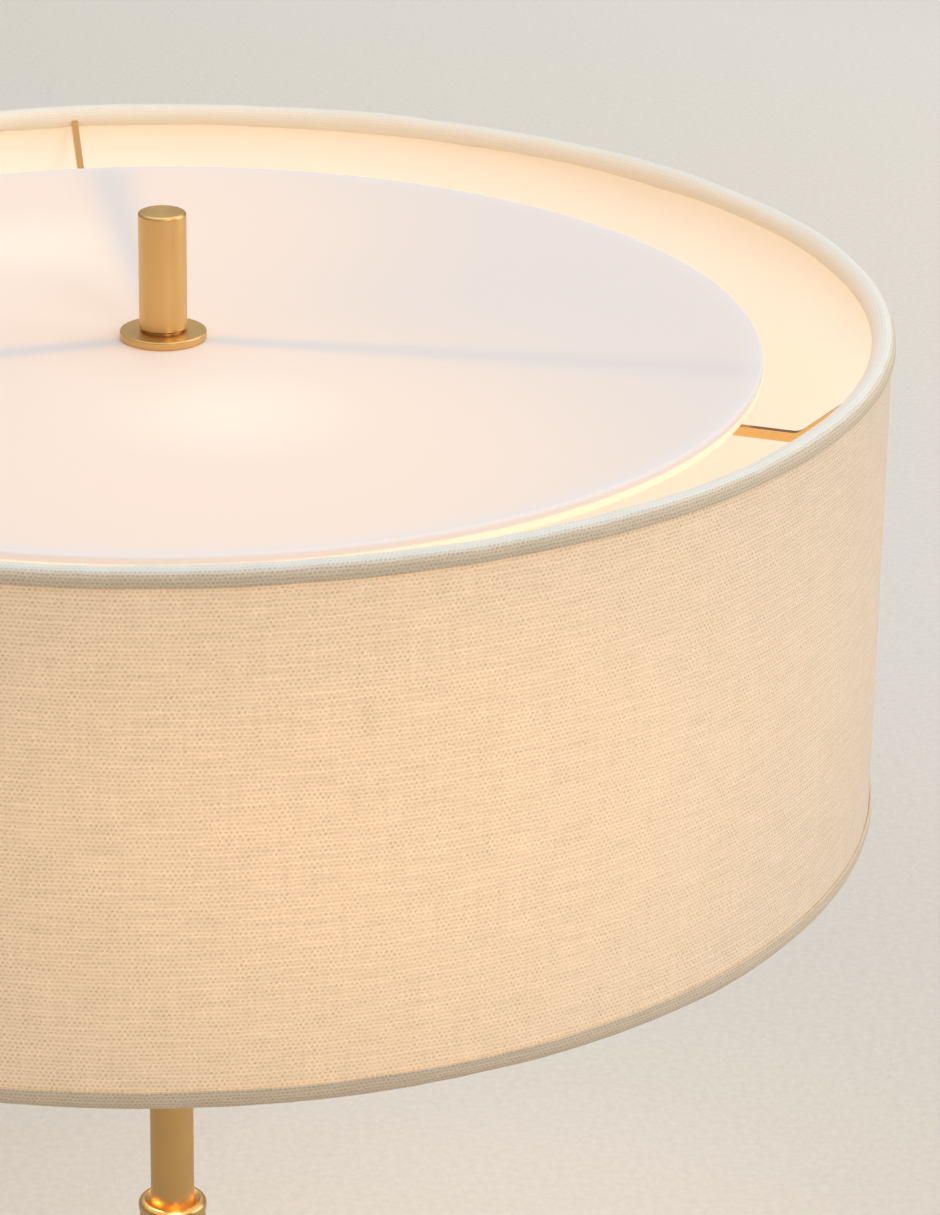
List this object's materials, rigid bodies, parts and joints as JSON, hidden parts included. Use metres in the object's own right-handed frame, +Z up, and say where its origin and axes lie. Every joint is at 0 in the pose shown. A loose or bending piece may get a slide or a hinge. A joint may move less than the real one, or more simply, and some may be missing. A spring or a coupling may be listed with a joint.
{
  "type": "led table lamp",
  "caption": "Table lamp with a fabric drum shade, frosted top diffuser, brass finial, two-tier stem and round weighted base.",
  "frame": {"origin": "centre of the felt pad's underside, where the lamp stands", "axes": "+Z up along the stem, +Y towards the back, where the cord inlet is"},
  "size_m": [0.4063, 0.4064, 0.5894],
  "materials": {
    "satin_brass": "satin brushed brass, lacquered",
    "polished_brass": "fine satin brass, lightly turned",
    "zinc_steel": "zinc plated",
    "cast_iron": "rough cast, dark",
    "felt": "dense needle felt",
    "black_plastic": "moulded, matte",
    "lead_sheath": "soft PVC sheath",
    "cap_plastic": "moulded nylon",
    "phenolic": "moulded phenolic",
    "contact_brass": "pressed, bright",
    "black_glass": "glossy insulator",
    "nickel": "nickel plated",
    "bulb_white": "moulded, semi gloss",
    "led_board": "solder mask, white",
    "bulb_globe": "frosted, lit warm white",
    "liner_film": "satin styrene sheet, lit through",
    "shade_linen": "plain weave, off-white, lit through",
    "trim_linen": "plain weave, folded, off-white",
    "frosted_acrylic": "frosted white, lit through"
  },
  "bodies": {
    "stand": {"base_cover": "satin_brass", "base_weight": "cast_iron", "base_pad": "felt", "cord_bushing": "black_plastic", "base_nipple": "zinc_steel", "base_washer": "zinc_steel", "base_nut": "zinc_steel", "stem_foot": "satin_brass", "stem_coupling": "zinc_steel", "lower_stem": "satin_brass", "stem_collar": "polished_brass", "upper_stem": "satin_brass", "stem_lead": "lead_sheath", "cluster_body": "satin_brass", "cluster_cap": "satin_brass", "riser_rod": "polished_brass", "rod_nuts": "zinc_steel", "spider_seat": "polished_brass", "switch_body": "black_plastic", "switch_nut": "zinc_steel", "wire_caps": "cap_plastic", "socket_nipple_front": "zinc_steel", "socket_nipple_back": "zinc_steel", "socket_cap_front": "satin_brass", "socket_cap_back": "satin_brass", "socket_shell_front": "satin_brass", "socket_shell_back": "satin_brass", "socket_insulator_front": "phenolic", "socket_insulator_back": "phenolic", "screw_shell_front": "contact_brass", "screw_shell_back": "contact_brass"},
    "switch": {"switch_shaft": "zinc_steel", "switch_knob": "black_plastic"},
    "bulb_front": {"bulb_foot_front": "black_glass", "bulb_base_front": "nickel", "bulb_housing_front": "bulb_white", "led_board_front": "led_board", "bulb_globe_front": "bulb_globe"},
    "bulb_back": {"bulb_foot_back": "black_glass", "bulb_base_back": "nickel", "bulb_housing_back": "bulb_white", "led_board_back": "led_board", "bulb_globe_back": "bulb_globe"},
    "shade": {"spider_hub": "polished_brass", "spider_arms": "polished_brass", "top_ring": "zinc_steel", "bottom_ring": "zinc_steel", "shade_liner": "liner_film", "shade_cover": "shade_linen", "top_trim": "trim_linen", "bottom_trim": "trim_linen"},
    "diffuser": {"diffuser_disc": "frosted_acrylic"},
    "washer": {"finial_washer": "satin_brass"},
    "finial": {"finial": "satin_brass"}
  },
  "joints": [
    {"name": "shade_lift", "type": "slide", "parent": "stand", "child": "shade", "axis": [0, 0, 1], "range_m": [0, 0.15]},
    {"name": "diffuser_lift", "type": "slide", "parent": "shade", "child": "diffuser", "axis": [0, 0, 1], "range_m": [0, 0.04]},
    {"name": "washer_lift", "type": "slide", "parent": "diffuser", "child": "washer", "axis": [0, 0, 1], "range_m": [0, 0.0141]},
    {"name": "finial_turn", "type": "hinge", "parent": "washer", "child": "finial", "pos_m": [0, 0, 0.57], "axis": [0, 0, 1], "range_deg": [0, 5400]},
    {"name": "switch_turn", "type": "hinge", "parent": "stand", "child": "switch", "pos_m": [0, 0, 0.452], "axis": [0.9397, 0.342, 0], "continuous": true},
    {"name": "bulb_front_out", "type": "slide", "parent": "stand", "child": "bulb_front", "axis": [0.2962, -0.8138, 0.5], "range_m": [0, 0.027]},
    {"name": "bulb_back_out", "type": "slide", "parent": "stand", "child": "bulb_back", "axis": [-0.2962, 0.8138, 0.5], "range_m": [0, 0.027]}
  ],
  "couplings": [
    {"joint": "finial_turn", "follows": "washer_lift", "rad_per_m": 6679}
  ]
}
